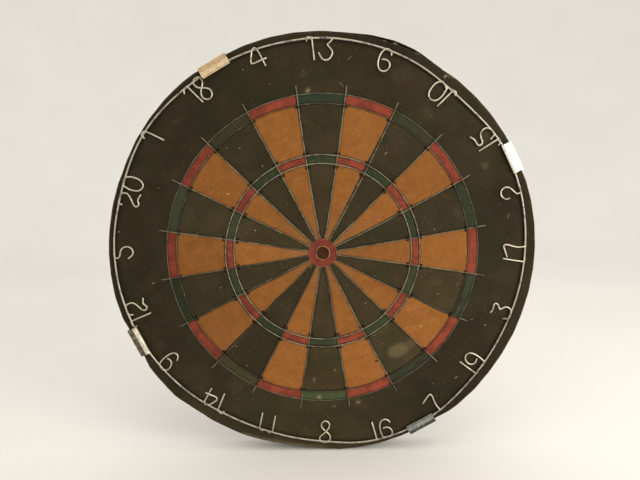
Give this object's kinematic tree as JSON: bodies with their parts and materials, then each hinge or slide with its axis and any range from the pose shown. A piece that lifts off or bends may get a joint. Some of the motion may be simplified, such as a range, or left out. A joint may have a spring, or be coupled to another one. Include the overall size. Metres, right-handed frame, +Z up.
{
  "type": "dart board",
  "caption": "Round painted pulp dart board with a stapled wire spider and a turning wire number ring held to its rim by sheet metal clips.",
  "frame": {"origin": "centre of the board's back face, which lies against the wall", "axes": "+Z up as hung, with the 13 sector at the top; +Y out of the back face into the wall; the painted face looks along -Y"},
  "size_m": [0.457, 0.0293, 0.457],
  "materials": {
    "painted_pulp": "matt hand painted, worn",
    "spider_wire": "dulled steel wire",
    "number_wire": "pale plated wire",
    "clip_metal": "worn zinc plated sheet",
    "fastener_metal": "tarnished brass plate"
  },
  "bodies": {
    "board": {"board_core": "painted_pulp", "spider_radial_wire_01": "spider_wire", "spider_radial_wire_02": "spider_wire", "spider_radial_wire_03": "spider_wire", "spider_radial_wire_04": "spider_wire", "spider_radial_wire_05": "spider_wire", "spider_radial_wire_06": "spider_wire", "spider_radial_wire_07": "spider_wire", "spider_radial_wire_08": "spider_wire", "spider_radial_wire_09": "spider_wire", "spider_radial_wire_10": "spider_wire", "spider_radial_wire_11": "spider_wire", "spider_radial_wire_12": "spider_wire", "spider_radial_wire_13": "spider_wire", "spider_radial_wire_14": "spider_wire", "spider_radial_wire_15": "spider_wire", "spider_radial_wire_16": "spider_wire", "spider_radial_wire_17": "spider_wire", "spider_radial_wire_18": "spider_wire", "spider_radial_wire_19": "spider_wire", "spider_radial_wire_20": "spider_wire", "double_outer_wire": "spider_wire", "double_inner_wire": "spider_wire", "treble_outer_wire": "spider_wire", "treble_inner_wire": "spider_wire", "bull_outer_wire": "spider_wire", "bull_inner_wire": "spider_wire", "ring_clip_upper_left": "clip_metal", "ring_clip_right": "clip_metal", "ring_clip_lower_right": "clip_metal", "ring_clip_lower_left": "clip_metal", "clip_tack_upper_left": "fastener_metal", "clip_tack_right": "fastener_metal", "clip_tack_lower_right": "fastener_metal", "clip_tack_lower_left": "fastener_metal", "hanger_plate": "fastener_metal", "hanger_screw_left": "fastener_metal", "hanger_screw_right": "fastener_metal"},
    "number_ring": {"number_ring_wire": "number_wire", "numeral_13": "number_wire", "numeral_6": "number_wire", "numeral_10": "number_wire", "numeral_15": "number_wire", "numeral_2": "number_wire", "numeral_17": "number_wire", "numeral_3": "number_wire", "numeral_19": "number_wire", "numeral_7": "number_wire", "numeral_16": "number_wire", "numeral_8": "number_wire", "numeral_11": "number_wire", "numeral_14": "number_wire", "numeral_9": "number_wire", "numeral_12": "number_wire", "numeral_5": "number_wire", "numeral_20": "number_wire", "numeral_1": "number_wire", "numeral_18": "number_wire", "numeral_4": "number_wire"}
  },
  "joints": [
    {"name": "number_ring_turn", "type": "hinge", "parent": "board", "child": "number_ring", "pos_m": [0, -0.0263, 0], "axis": [0, 1, 0], "continuous": true}
  ]
}
